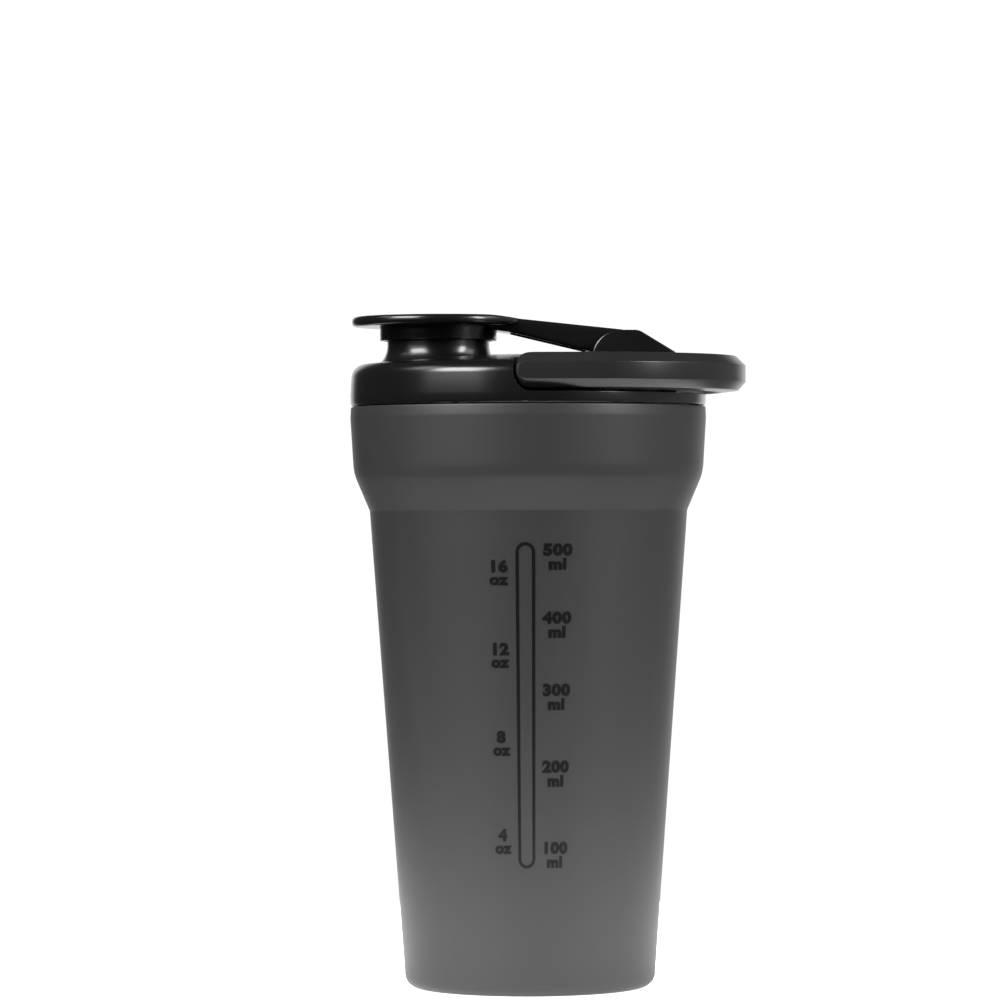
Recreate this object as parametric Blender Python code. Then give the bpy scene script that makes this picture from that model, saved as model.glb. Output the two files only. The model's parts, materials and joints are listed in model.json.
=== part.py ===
"""Protein shaker bottle: a smoked cup, a screw lid with a spout, a flip cap on a hinge pin, a swing-up
carry loop on two pivot pins, two silicone seals and a clip-in mixing grid.

The origin is on the cup's axis, in the plane that the base stands on. +Z is up. The spout is towards -X,
and the carry loop's bow is towards +X. Sizes are millimetres, turned into metres where a mesh is made.
"""

import math

import bmesh
import bpy
import mathutils

MM = 0.001
ROUND_STEPS = 48
SMALL_ROUND_STEPS = 20
FIT_GAP = 0.3

# Cup: a tapered wall, a cone that widens to the collar, and the collar that the lid screws into.
WALL = 2.2
FOOT_RADIUS = 31.75
FOOT_ROUND = 4.0
WALL_FOOT_RADIUS = 35.75
WALL_TOP_RADIUS = 45.3
WALL_TOP = 134.9
CONE_BOTTOM = 136.2
COLLAR_BOTTOM = 147.4
COLLAR_RADIUS = 50.85
RIM_TOP = 165.6
FLOOR = 2.8
COLLAR_BORE = 48.3

# Screw thread: three starts, right-handed, so that the lid rises as it turns anticlockwise from above.
STARTS = 3
PITCH = 6.0
LEAD = STARTS * PITCH
THREAD_SPAN = 150
THREAD_BOTTOM = 153.5
MALE_DROP = 2.4
FEMALE_CREST = 47.1
MALE_CREST = 47.7

# Lid shell.
SKIRT_RADIUS = 46.4
SKIRT_BORE = 44.4
SKIRT_BOTTOM = 150.5
LID_BOTTOM = 165.9
LID_RADIUS = 50.8
SHOULDER_START = 174.2
SHOULDER_ROUND = 4.0
DOME_TOP = 180.6
DOME_FALL = 775.0
GROOVE_TOP = 167.5
GROOVE_RADIUS = 49.5
DECK_RADIUS = 41.0
LEDGE_TOP = 169.0
RECESS_END = -4.8

# Carry loop: a chamfered band, straight at its arms and half round at its bow.
LOOP_PIVOT_X = 1.6
LOOP_PIVOT_Z = 174.6
LOOP_BOW_X = 11.6
LOOP_RADIUS = 46.1
LOOP_HALF_WIDTH = 4.5
LOOP_HALF_HEIGHT = 5.2
LOOP_CHAMFER = 2.7
LOOP_PIN_RADIUS = 1.75
LOOP_PIN_INNER = 35.5
LOOP_PIN_OUTER = 46.2

# Spout and flip cap.
SPOUT_X = -25.6
SPOUT_RADIUS = 14.6
SPOUT_BORE = 12.3
SPOUT_TOP = 187.0
SPOUT_FLARE = 3.2
SPOUT_FLARE_TOP = 181.9
CAP_TOP = 191.4
CAP_BOTTOM = 188.5
CAP_RADIUS = 24.7
CAP_SKIRT_RADIUS = 16.7
CAP_SKIRT_BORE = 15.4
CAP_SKIRT_BOTTOM = 184.5
CAP_STUD_RADIUS = 3.0
ARM_HALF_WIDTH = 10.2
HINGE_X = 26.0
HINGE_Z = 183.8
KNUCKLE_RADIUS = 3.6
HINGE_PIN_RADIUS = 1.25
CHEEK_INNER = 10.5
CHEEK_OUTER = 13.5

# Mixing grid, clipped inside the lid's skirt.
GRID_RADIUS = 43.9
GRID_BOTTOM = 148.6
GRID_PLATE = 1.6
GRID_RING_TOP = 156.0
GRID_SLOT = 4.6
GRID_RINGS = 4
GRID_SPOKES = 6
GRID_SPOKE_WIDTH = 3.0


def clear_scene():
    for obj in list(bpy.data.objects):
        bpy.data.objects.remove(obj)


def plastic(name, colour, roughness, metallic=0.0):
    """A Principled material in one colour."""
    material = bpy.data.materials.new(name)
    material.use_nodes = True
    shader = material.node_tree.nodes["Principled BSDF"]
    shader.inputs["Base Color"].default_value = (*colour, 1.0)
    shader.inputs["Roughness"].default_value = roughness
    shader.inputs["Metallic"].default_value = metallic
    return material


def arc(centre, radius, start, end, steps):
    """Points of an arc in a plane, from the start angle to the end angle in degrees."""
    angles = [math.radians(start + (end - start) * i / steps) for i in range(steps + 1)]
    return [(centre[0] + radius * math.cos(a), centre[1] + radius * math.sin(a)) for a in angles]


def dome_height(radius):
    """The height of the lid's shallow dome at a distance from the cup's axis."""
    return DOME_TOP - radius**2 / DOME_FALL


def add_object(name, bm, material=None):
    """Turns a bmesh into an object with its faces pointing out. With no material it is a cutter or a tool."""
    bmesh.ops.recalc_face_normals(bm, faces=bm.faces)
    mesh = bpy.data.meshes.new(name)
    bm.to_mesh(mesh)
    bm.free()
    mesh.shade_smooth()
    mesh.set_sharp_from_angle(angle=math.radians(35))
    obj = bpy.data.objects.new(name, mesh)
    bpy.context.scene.collection.objects.link(obj)
    if material:
        mesh.materials.append(material)
    else:
        obj.hide_render = True
        obj.display_type = "WIRE"
    return obj


def turned(name, outline, material=None, centre_x=0.0, steps=ROUND_STEPS):
    """A solid turned about the vertical line at centre_x, from its outline of (radius, height).

    An outline that starts off the axis is closed into a ring.
    """
    bm = bmesh.new()
    verts = [bm.verts.new((r * MM, 0, z * MM)) for r, z in outline]
    edges = [bm.edges.new(pair) for pair in zip(verts, verts[1:])]
    if outline[0][0] > 0:
        edges.append(bm.edges.new((verts[-1], verts[0])))
    bmesh.ops.spin(
        bm, geom=verts + edges, axis=(0, 0, 1), angle=math.tau, steps=steps, use_merge=True
    )
    bmesh.ops.remove_doubles(bm, verts=bm.verts, dist=1e-7)
    bmesh.ops.translate(bm, verts=bm.verts, vec=(centre_x * MM, 0, 0))
    return add_object(name, bm, material)


def extruded(name, outline, low, high, plane="XZ", material=None):
    """A prism: an outline in the XZ plane pushed along Y, or one in the XY plane pushed along Z."""
    bm = bmesh.new()

    def place(point, depth):
        if plane == "XZ":
            return (point[0] * MM, depth * MM, point[1] * MM)
        return (point[0] * MM, point[1] * MM, depth * MM)

    face = bm.faces.new([bm.verts.new(place(point, low)) for point in outline])
    moved = bmesh.ops.extrude_face_region(bm, geom=[face])["geom"]
    verts = [item for item in moved if isinstance(item, bmesh.types.BMVert)]
    step = (high - low) * MM
    bmesh.ops.translate(bm, verts=verts, vec=(0, step, 0) if plane == "XZ" else (0, 0, step))
    return add_object(name, bm, material)


def crossbar(name, x, z, radius, low, high, material=None):
    """A round bar along Y, for pins, their holes and their bosses."""
    outline = arc((x, z), radius, 0, 360 - 360 / SMALL_ROUND_STEPS, SMALL_ROUND_STEPS - 1)
    return extruded(name, outline, low, high, "XZ", material)


def set_origin(obj, x, z):
    """Puts the origin of a piece on its joint's axis, and leaves the piece where it is."""
    obj.data.transform(mathutils.Matrix.Translation((-x * MM, 0, -z * MM)))
    obj.location = (x * MM, 0, z * MM)


def combine(obj, tool, operation):
    modifier = obj.modifiers.new(f"{operation.lower()} {tool.name}", "BOOLEAN")
    modifier.operation = operation
    modifier.object = tool
    modifier.solver = "EXACT"


def join(obj, *tools):
    for tool in tools:
        combine(obj, tool, "UNION")


def cut(obj, *tools):
    for tool in tools:
        combine(obj, tool, "DIFFERENCE")


def thread(name, root, crest, bottom):
    """The three ribs of a screw thread, each with its ends run out into the wall."""
    bm = bmesh.new()
    steps = 20
    base_half, crest_half = 0.9, 0.5
    for start in range(STARTS):
        sections = []
        for i in range(steps + 1):
            turn = THREAD_SPAN * i / steps
            angle = math.radians(turn + 360 * start / STARTS)
            height = bottom + LEAD * turn / 360
            run_out = min(1.0, 0.25 + min(i, steps - i) / 3)
            tip = root + (crest - root) * run_out
            section = [
                (root, height - base_half),
                (tip, height - crest_half),
                (tip, height + crest_half),
                (root, height + base_half),
            ]
            sections.append(
                [
                    bm.verts.new((r * math.cos(angle) * MM, r * math.sin(angle) * MM, z * MM))
                    for r, z in section
                ]
            )
        for near, far in zip(sections, sections[1:]):
            for k in range(4):
                bm.faces.new((near[k], near[(k + 1) % 4], far[(k + 1) % 4], far[k]))
        bm.faces.new(sections[0])
        bm.faces.new(sections[-1])
    return add_object(name, bm)


def make_cup(material):
    """The smoked cup: foot ring, tapered wall, cone, collar and the female thread in it."""
    wall_lean = math.degrees(math.atan2(WALL_TOP_RADIUS - WALL_FOOT_RADIUS, WALL_TOP - FOOT_ROUND))
    outside = [(0, 0), (12, 0), (12.6, 0.9), (24.4, 0.9), (25, 0)]
    outside += arc((FOOT_RADIUS, FOOT_ROUND), FOOT_ROUND, -90, -wall_lean, 6)
    outside += [(WALL_TOP_RADIUS, WALL_TOP), (WALL_TOP_RADIUS + 0.2, CONE_BOTTOM)]
    outside += [(49.6, 146.4), (50.0, 148.2), (COLLAR_RADIUS, 165.0), (50.1, RIM_TOP)]
    inside = [(48.8, RIM_TOP), (COLLAR_BORE, 165.1), (48.0, 149.0), (47.4, COLLAR_BOTTOM)]
    inside += [(WALL_TOP_RADIUS - WALL, CONE_BOTTOM), (WALL_FOOT_RADIUS - WALL, 7.0)]
    inside += arc((WALL_FOOT_RADIUS - WALL - 4.2, 7.0), 4.2, 0, -90, 4)[1:]
    inside += [(0, FLOOR)]
    cup = turned("cup", outside + inside, material)
    join(cup, thread("female_thread_tool", COLLAR_BORE + 0.4, FEMALE_CREST, THREAD_BOTTOM + 1.5))
    return cup


def lid_outside():
    shoulder_centre = (LID_RADIUS - 0.3 - SHOULDER_ROUND, SHOULDER_START - 0.35)
    outline = [(0, SKIRT_BOTTOM), (SKIRT_RADIUS, SKIRT_BOTTOM), (SKIRT_RADIUS, GROOVE_TOP)]
    outline += [(GROOVE_RADIUS, GROOVE_TOP), (GROOVE_RADIUS, LID_BOTTOM), (50.1, LID_BOTTOM)]
    outline += [(LID_RADIUS, 168.0), (LID_RADIUS, 170.8)]
    outline += arc(shoulder_centre, SHOULDER_ROUND, 5, 83, 6)
    outline += [(r, dome_height(r)) for r in (38, 28, 14, 0)]
    return outline


def lid_cavity():
    """The space inside the lid. It stays clear of the recess that the carry loop lies in."""
    roof = [(r, dome_height(r) - WALL) for r in (45.5, 38, 28, 14, 0)]
    outline = [(0, SKIRT_BOTTOM - 5), (SKIRT_BORE, SKIRT_BOTTOM - 5), (SKIRT_BORE, GROOVE_TOP + WALL)]
    outline += [(LID_RADIUS - 2.4, GROOVE_TOP + WALL), (LID_RADIUS - 2.4, 173.6), (47.2, 175.2)]
    cavity = turned("lid_cavity_tool", outline + roof)
    wall_end = RECESS_END - WALL
    keep = extruded(
        "recess_wall_tool",
        [(70, LEDGE_TOP - WALL), (70, 200), (wall_end, 200), (wall_end, LEDGE_TOP - WALL)],
        -70,
        70,
    )
    cut(keep, turned("recess_core_tool", [(0, 150), (38.8, 150), (38.8, 210), (0, 210)]))
    cut(cavity, keep)
    return cavity


def loop_recess():
    """The cutter for the recess: it ends in a round about the loop's pivot, and leaves the deck standing."""
    end_round = LOOP_PIVOT_X - RECESS_END
    drop = LOOP_PIVOT_Z - LEDGE_TOP
    last = 180 + math.degrees(math.asin(drop / end_round))
    outline = [(70, LEDGE_TOP), (70, 200), (RECESS_END, 200)]
    outline += arc((LOOP_PIVOT_X, LOOP_PIVOT_Z), end_round, 180, last, 5)
    recess = extruded("loop_recess_tool", outline, -70, 70)
    cut(recess, turned("deck_tool", [(0, 150), (DECK_RADIUS, 150), (DECK_RADIUS, 210), (0, 210)]))
    return recess


def hinge_bracket():
    """Two cheeks with humped tops, joined by a rear wall that runs down to the ledge."""
    bottom = dome_height(DECK_RADIUS) - 0.4
    outline = [(42.0, LEDGE_TOP - 1), (42.0, 180.6), (31.4, 187.1)]
    outline += arc((HINGE_X, 179.2), 7.5, 90, 180, 8)
    outline += [(HINGE_X - 7.5, bottom), (36.0, bottom), (36.0, LEDGE_TOP - 1)]
    bracket = extruded("hinge_bracket_tool", outline, -CHEEK_OUTER, CHEEK_OUTER)
    slot = [(10.0, 165), (38.5, 165), (38.5, 200), (10.0, 200)]
    cut(bracket, extruded("bracket_slot_tool", slot, -CHEEK_INNER, CHEEK_INNER))
    return bracket


def spout_neck():
    """The spout's outside: its flared foot follows the dome, and its neck is round and upright."""
    bm = bmesh.new()
    levels = 6
    foot_radius = SPOUT_RADIUS + SPOUT_FLARE
    rings = []
    for level in range(-1, levels + 3):
        ring = []
        for step in range(ROUND_STEPS):
            angle = math.tau * step / ROUND_STEPS
            rise = math.radians(90 * min(max(level, 0), levels) / levels)
            radius = foot_radius - SPOUT_FLARE * math.sin(rise)
            if level > levels:
                radius -= 0.5 * (level - levels - 1)
            x = SPOUT_X + radius * math.cos(angle)
            y = radius * math.sin(angle)
            foot = dome_height(math.hypot(x, y)) - 0.05
            height = foot + (SPOUT_FLARE_TOP - foot) * (1 - math.cos(rise))
            if level < 0:
                height = 177.0
            elif level > levels:
                height = SPOUT_TOP - 0.5 * (levels + 2 - level)
            ring.append(bm.verts.new((x * MM, y * MM, height * MM)))
        rings.append(ring)
    for low, high in zip(rings, rings[1:]):
        for i in range(ROUND_STEPS):
            j = (i + 1) % ROUND_STEPS
            bm.faces.new((low[i], low[j], high[j], high[i]))
    bm.faces.new(rings[0])
    bm.faces.new(rings[-1])
    return add_object("spout_neck_tool", bm)


def make_lid_shell(material):
    """The lid in one moulding: threaded skirt, flange, shoulder, domed deck, spout and hinge bracket."""
    lid = turned("lid_shell", lid_outside(), material)
    cut(lid, loop_recess())
    join(lid, hinge_bracket(), spout_neck())
    join(lid, thread("male_thread_tool", SKIRT_RADIUS - 0.4, MALE_CREST, THREAD_BOTTOM + 1.5 - MALE_DROP))
    cut(lid, lid_cavity())
    hole_radius = LOOP_PIN_RADIUS + FIT_GAP + 0.05
    for side, name in ((-1, "front"), (1, "rear")):
        ends = sorted((side * 34.8, side * 39.6))
        join(lid, crossbar(f"{name}_boss_tool", LOOP_PIVOT_X, LOOP_PIVOT_Z, 4.2, *ends))
        ends = sorted((side * 34, side * 42))
        cut(lid, crossbar(f"{name}_boss_hole_tool", LOOP_PIVOT_X, LOOP_PIVOT_Z, hole_radius, *ends))
    bore = [(0, 165), (SPOUT_BORE, 165), (SPOUT_BORE, 200), (0, 200)]
    cut(lid, turned("spout_bore_tool", bore, centre_x=SPOUT_X))
    hole = HINGE_PIN_RADIUS + FIT_GAP + 0.05
    cut(lid, crossbar("hinge_hole_tool", HINGE_X, HINGE_Z, hole, -12.6, CHEEK_OUTER + 1))
    return lid


def make_lid_gasket(material):
    """The flat silicone ring between the lid's flange and the cup's rim."""
    low, high = RIM_TOP + 0.35, GROOVE_TOP - 0.35
    inner, outer = SKIRT_RADIUS + 0.4, GROOVE_RADIUS - 0.4
    outline = [(inner, low), (outer, low), (outer, high), (inner, high)]
    return turned("lid_gasket", outline, material)


def loop_section(half_height):
    """The band's eight-sided section as (outward, upward)."""
    scale = half_height / LOOP_HALF_HEIGHT
    w, h, c = LOOP_HALF_WIDTH, LOOP_HALF_HEIGHT, LOOP_CHAMFER
    corners = [(w, c - h), (w, h - c), (w - c, h), (c - w, h), (-w, h - c), (-w, c - h), (c - w, -h), (w - c, -h)]
    return [(out, up * scale) for out, up in corners]


def loop_stations():
    """Where the band's sections stand: (x, y, outward angle in degrees, half height), arm end to arm end."""
    arm = []
    for turn in (85, 65, 45, 22.5, 0):
        back = LOOP_HALF_HEIGHT * math.sin(math.radians(turn))
        half = LOOP_HALF_HEIGHT * math.cos(math.radians(turn))
        arm.append((LOOP_PIVOT_X - back, -LOOP_RADIUS, -90, half))
    bow_steps = 32
    bow = []
    for i in range(bow_steps + 1):
        angle = -90 + 180 * i / bow_steps
        x = LOOP_BOW_X + LOOP_RADIUS * math.cos(math.radians(angle))
        y = LOOP_RADIUS * math.sin(math.radians(angle))
        bow.append((x, y, angle, LOOP_HALF_HEIGHT))
    far_arm = [(x, -y, -angle, half) for x, y, angle, half in reversed(arm)]
    return arm + bow + far_arm


def make_carry_loop(material):
    bm = bmesh.new()
    rings = []
    for x, y, angle, half in loop_stations():
        turn = math.radians(angle)
        rings.append(
            [
                bm.verts.new(
                    (
                        (x + out * math.cos(turn)) * MM,
                        (y + out * math.sin(turn)) * MM,
                        (LOOP_PIVOT_Z + up) * MM,
                    )
                )
                for out, up in loop_section(half)
            ]
        )
    for near, far in zip(rings, rings[1:]):
        for k in range(8):
            bm.faces.new((near[k], near[(k + 1) % 8], far[(k + 1) % 8], far[k]))
    bm.faces.new(rings[0])
    bm.faces.new(rings[-1])
    loop = add_object("carry_loop", bm, material)
    set_origin(loop, LOOP_PIVOT_X, LOOP_PIVOT_Z)
    hole = LOOP_PIN_RADIUS + FIT_GAP + 0.05
    for side, name in ((-1, "front"), (1, "rear")):
        ends = sorted((side * 40, side * (LOOP_PIN_OUTER + 0.4)))
        cut(loop, crossbar(f"{name}_arm_hole_tool", LOOP_PIVOT_X, LOOP_PIVOT_Z, hole, *ends))
    return loop


def make_loop_pins(material):
    """Two steel dowels, each pressed into a boss of the lid and standing in an arm of the loop."""
    for side, name in ((-1, "front"), (1, "rear")):
        ends = sorted((side * LOOP_PIN_INNER, side * LOOP_PIN_OUTER))
        crossbar(f"loop_pin_{name}", LOOP_PIVOT_X, LOOP_PIVOT_Z, LOOP_PIN_RADIUS, *ends, material)


def cap_plan():
    """The flip cap seen from above: a round pad, drawn in along its tangents to a straight arm."""
    neck_x = 8.0
    reach = math.hypot(neck_x - SPOUT_X, ARM_HALF_WIDTH)
    leave = math.atan2(ARM_HALF_WIDTH, neck_x - SPOUT_X) + math.acos(CAP_RADIUS / reach)
    start = math.degrees(leave)
    pad = arc((SPOUT_X, 0), CAP_RADIUS, start, 360 - start, 36)
    rear = HINGE_X + 10
    arm = [(neck_x, -ARM_HALF_WIDTH), (rear, -ARM_HALF_WIDTH), (rear, ARM_HALF_WIDTH), (neck_x, ARM_HALF_WIDTH)]
    return pad + arm


def cap_side():
    """The flip cap seen from the front: a thin pad, and an arm that deepens towards its knuckle."""
    top = [(-60, CAP_TOP), (-12.0, CAP_TOP), (-8.0, 191.25), (-4.0, 190.95)]
    knuckle = arc((HINGE_X, HINGE_Z), KNUCKLE_RADIUS, 90, -90, 12)
    bottom = [(18.0, 181.1), (14.9, 181.8), (-6.0, 186.85), (-9.6, 187.3), (-13.0, CAP_BOTTOM), (-60, CAP_BOTTOM)]
    return top + knuckle + bottom


def make_flip_cap(material):
    """Pad, arm and knuckle in one moulding, with the skirt that closes round the spout and a stud for its seal."""
    cap = extruded("flip_cap", cap_plan(), 175, 195, "XY", material)
    set_origin(cap, HINGE_X, HINGE_Z)
    combine(cap, extruded("cap_side_tool", cap_side(), -40, 40), "INTERSECT")
    wide, roof, top = CAP_SKIRT_BORE + 0.6, CAP_BOTTOM + 0.4, CAP_BOTTOM + 0.8
    bowl = [(0, 180), (wide, 180), (wide, roof), (0, roof)]
    cut(cap, turned("cap_bowl_tool", bowl, centre_x=SPOUT_X))
    stud_and_skirt = [(0, 186.6), (CAP_STUD_RADIUS, 186.6), (CAP_STUD_RADIUS, CAP_BOTTOM + 0.2)]
    stud_and_skirt += [(CAP_SKIRT_BORE, CAP_BOTTOM + 0.2), (CAP_SKIRT_BORE, CAP_SKIRT_BOTTOM)]
    stud_and_skirt += [(CAP_SKIRT_RADIUS, CAP_SKIRT_BOTTOM), (CAP_SKIRT_RADIUS, top), (0, top)]
    join(cap, turned("cap_skirt_tool", stud_and_skirt, centre_x=SPOUT_X))
    hole = HINGE_PIN_RADIUS + FIT_GAP + 0.05
    cut(cap, crossbar("knuckle_hole_tool", HINGE_X, HINGE_Z, hole, -20, 20))
    return cap


def make_spout_seal(material):
    """The silicone plug on the cap's stud: its flange meets the spout's lip and its ring enters the bore."""
    inner = CAP_STUD_RADIUS + FIT_GAP
    outline = [(inner, 186.2), (9.8, 186.2), (9.8, 184.4), (11.6, 184.4), (11.6, SPOUT_TOP + FIT_GAP)]
    outline += [(14.8, SPOUT_TOP + FIT_GAP), (14.8, CAP_BOTTOM - 0.35), (inner, CAP_BOTTOM - 0.35)]
    return turned("spout_seal", outline, material, centre_x=SPOUT_X)


def make_cap_hinge_pin(material):
    """The steel pin. It goes in through the rear cheek and ends inside the front one."""
    return crossbar("cap_hinge_pin", HINGE_X, HINGE_Z, HINGE_PIN_RADIUS, -12.25, CHEEK_OUTER - 0.3, material)


def grid_slots():
    """The cutter for the grid's slots: rings of arcs between the spokes."""
    bm = bmesh.new()
    bar = (GRID_RADIUS - 3.2 - 8.0 - GRID_RINGS * GRID_SLOT) / (GRID_RINGS - 1)
    for ring in range(GRID_RINGS):
        inner = 8.0 + ring * (GRID_SLOT + bar)
        outer = inner + GRID_SLOT
        middle = (inner + outer) / 2
        gap = math.degrees(GRID_SPOKE_WIDTH / middle)
        span = 360 / GRID_SPOKES - gap
        for sector in range(GRID_SPOKES):
            start = 360 * sector / GRID_SPOKES + gap / 2
            steps = 3 + ring // 2
            outline = arc((0, 0), outer, start, start + span, steps)
            outline += arc((0, 0), inner, start + span, start, steps)
            low = [bm.verts.new((x * MM, y * MM, (GRID_BOTTOM - 2) * MM)) for x, y in outline]
            high = [bm.verts.new((x * MM, y * MM, (GRID_BOTTOM + 4) * MM)) for x, y in outline]
            for i in range(len(outline)):
                j = (i + 1) % len(outline)
                bm.faces.new((low[i], low[j], high[j], high[i]))
            bm.faces.new(low)
            bm.faces.new(high)
    return add_object("grid_slots_tool", bm)


def make_mixing_grid(material):
    """The mixing grid: a slotted plate with an upright ring that plugs into the lid's skirt."""
    plate_top = GRID_BOTTOM + GRID_PLATE
    outline = [(0, GRID_BOTTOM), (GRID_RADIUS, GRID_BOTTOM), (GRID_RADIUS, GRID_RING_TOP)]
    outline += [(GRID_RADIUS - 1.6, GRID_RING_TOP), (GRID_RADIUS - 1.6, plate_top), (0, plate_top)]
    grid = turned("mixing_grid", outline, material)
    cut(grid, grid_slots())
    return grid


def main():
    clear_scene()
    smoked = plastic("smoked_polypropylene", (0.06, 0.06, 0.062), 0.35)
    black = plastic("black_polypropylene", (0.012, 0.012, 0.013), 0.3)
    silicone = plastic("grey_silicone", (0.12, 0.12, 0.12), 0.6)
    steel = plastic("stainless_steel", (0.6, 0.6, 0.6), 0.25, 1.0)
    make_cup(smoked)
    make_lid_shell(black)
    make_lid_gasket(silicone)
    make_carry_loop(black)
    make_loop_pins(steel)
    make_flip_cap(black)
    make_spout_seal(silicone)
    make_cap_hinge_pin(steel)
    make_mixing_grid(black)


main()
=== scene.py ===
"""Protein shaker bottle: a smoked cup, a black screw lid with a flip cap, a carry loop and a mixing grid.

The sections follow the bottle as it is put together, from the cup upwards. Lengths in the sections are
millimetres, and MM turns them into metres where a mesh is made.
"""

import json
import math

import bmesh
import bpy
from mathutils import Matrix, Vector


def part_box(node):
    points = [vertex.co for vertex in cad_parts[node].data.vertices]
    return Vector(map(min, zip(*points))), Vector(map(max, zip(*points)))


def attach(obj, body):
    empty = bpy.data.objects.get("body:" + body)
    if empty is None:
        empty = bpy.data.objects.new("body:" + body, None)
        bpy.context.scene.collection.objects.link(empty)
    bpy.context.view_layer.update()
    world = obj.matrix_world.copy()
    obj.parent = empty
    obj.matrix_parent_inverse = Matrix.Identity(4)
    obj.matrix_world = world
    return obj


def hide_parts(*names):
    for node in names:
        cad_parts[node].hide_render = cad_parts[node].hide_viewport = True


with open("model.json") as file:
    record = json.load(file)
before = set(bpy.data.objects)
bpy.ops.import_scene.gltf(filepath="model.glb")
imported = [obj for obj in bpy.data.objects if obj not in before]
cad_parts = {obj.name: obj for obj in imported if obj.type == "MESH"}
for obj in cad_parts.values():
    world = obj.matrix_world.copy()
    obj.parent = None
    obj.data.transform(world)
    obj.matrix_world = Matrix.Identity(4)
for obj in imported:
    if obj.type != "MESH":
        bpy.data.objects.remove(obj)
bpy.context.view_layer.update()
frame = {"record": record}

# --- Cup -------------------------------------------------------------------------------------------
# The cup is one moulding in smoked, slightly cloudy polypropylene. It tapers to a foot ring, and a cone
# under the collar makes room for the lid's skirt. Its surface is satin, inside and out.

MM = 0.001
CUP_STEPS = 288
cup_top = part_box("cup")[1].z / MM
collar_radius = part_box("cup")[1].x / MM
FOOT_ROUND = 4.0
FOOT_RADIUS = 31.75
WALL_FOOT_RADIUS = 35.75
WALL_TOP_RADIUS = 45.3
WALL_TOP = 134.9
LEDGE = 136.0
WALL = 2.2


def arc(centre, radius, start, end, steps):
    """Points of an arc, from the start angle to the end angle in degrees."""
    angles = [math.radians(start + (end - start) * i / steps) for i in range(steps + 1)]
    return [(centre[0] + radius * math.cos(a), centre[1] + radius * math.sin(a)) for a in angles]


def rounded(corners, closed=False, steps=4):
    """An outline whose corners are rounded. A corner is (x, y) when it stays sharp, or (x, y, radius)."""
    points = []
    count = len(corners)
    for i, corner in enumerate(corners):
        if len(corner) == 2 or (not closed and i in (0, count - 1)):
            points.append(corner[:2])
            continue
        here = Vector(corner[:2])
        before = Vector(corners[i - 1][:2])
        after = Vector(corners[(i + 1) % count][:2])
        back, on = (before - here).normalized(), (after - here).normalized()
        half = back.angle(on) / 2
        reach = min(corner[2] / math.tan(half), 0.49 * (before - here).length, 0.49 * (after - here).length)
        start, end = here + back * reach, here + on * reach
        for k in range(steps + 1):
            t = k / steps
            points.append(tuple(start * (1 - t) ** 2 + here * 2 * t * (1 - t) + end * t**2))
    return points


def divided(points, longest):
    """The same outline, with points added so that no stretch is longer than longest."""
    fine = [points[0]]
    for a, b in zip(points, points[1:]):
        parts = max(1, math.ceil(math.dist(a, b) / longest))
        fine += [(a[0] + (b[0] - a[0]) * k / parts, a[1] + (b[1] - a[1]) * k / parts) for k in range(1, parts + 1)]
    return fine


def make_piece(name, bm, sharp=40):
    """A smooth-shaded object from a bmesh, with its faces pointing out and edges over sharp degrees kept."""
    bmesh.ops.remove_doubles(bm, verts=bm.verts, dist=1e-7)
    bmesh.ops.recalc_face_normals(bm, faces=bm.faces)
    mesh = bpy.data.meshes.new(name)
    bm.to_mesh(mesh)
    bm.free()
    mesh.shade_smooth()
    mesh.set_sharp_from_angle(angle=math.radians(sharp))
    piece = bpy.data.objects.new(name, mesh)
    bpy.context.scene.collection.objects.link(piece)
    return piece


def turned(name, outline, steps=CUP_STEPS, centre_x=0.0, sharp=40):
    """A solid turned from (radius, height) points about an upright line at centre_x."""
    bm = bmesh.new()
    verts = [bm.verts.new((r * MM, 0, z * MM)) for r, z in outline]
    edges = [bm.edges.new(pair) for pair in zip(verts, verts[1:])]
    if outline[0][0] > 0:
        edges.append(bm.edges.new((verts[-1], verts[0])))
    bmesh.ops.spin(bm, geom=verts + edges, axis=(0, 0, 1), angle=math.tau, steps=steps, use_merge=True)
    bmesh.ops.translate(bm, verts=bm.verts, vec=(centre_x * MM, 0, 0))
    return make_piece(name, bm, sharp)


def wall_radius(z):
    """The outer radius of the cup's tapered wall at a height."""
    share = (z - FOOT_ROUND) / (WALL_TOP - FOOT_ROUND)
    return WALL_FOOT_RADIUS + (WALL_TOP_RADIUS - WALL_FOOT_RADIUS) * share


def cup_outline():
    """The cup's section: foot, wall, cone and collar outside, then the mouth, the wall and the floor inside."""
    lean = math.degrees(math.atan2(WALL_TOP_RADIUS - WALL_FOOT_RADIUS, WALL_TOP - FOOT_ROUND))
    foot = [(0, 0), (12, 0, 0.4), (12.6, 0.9, 0.4), (24.4, 0.9, 0.4), (25, 0, 0.4), (FOOT_RADIUS, 0)]
    outside = rounded(foot) + arc((FOOT_RADIUS, FOOT_ROUND), FOOT_ROUND, -90, -lean, 12)[1:]
    upper = [
        outside.pop(),
        (WALL_TOP_RADIUS + 0.07, LEDGE, 0.6),
        (collar_radius - 1.3, 145.9, 12.0),
        (collar_radius - 0.85, 148.4, 14.0),
        (collar_radius, 162.6, 6.0),
        (collar_radius - 0.18, cup_top, 0.45),
        (48.7, cup_top, 0.4),
        (48.3, cup_top - 0.6, 0.3),
        (48.0, 149.0, 0.5),
        (47.3, 147.3, 1.0),
        (WALL_TOP_RADIUS - WALL, 136.2, 2.0),
        (WALL_FOOT_RADIUS - WALL, 7.0),
    ]
    inside = arc((WALL_FOOT_RADIUS - WALL - 4.2, 7.0), 4.2, 0, -90, 8)[1:] + [(0, 2.8)]
    return outside + divided(rounded(upper, steps=6), 4.0) + inside


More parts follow.
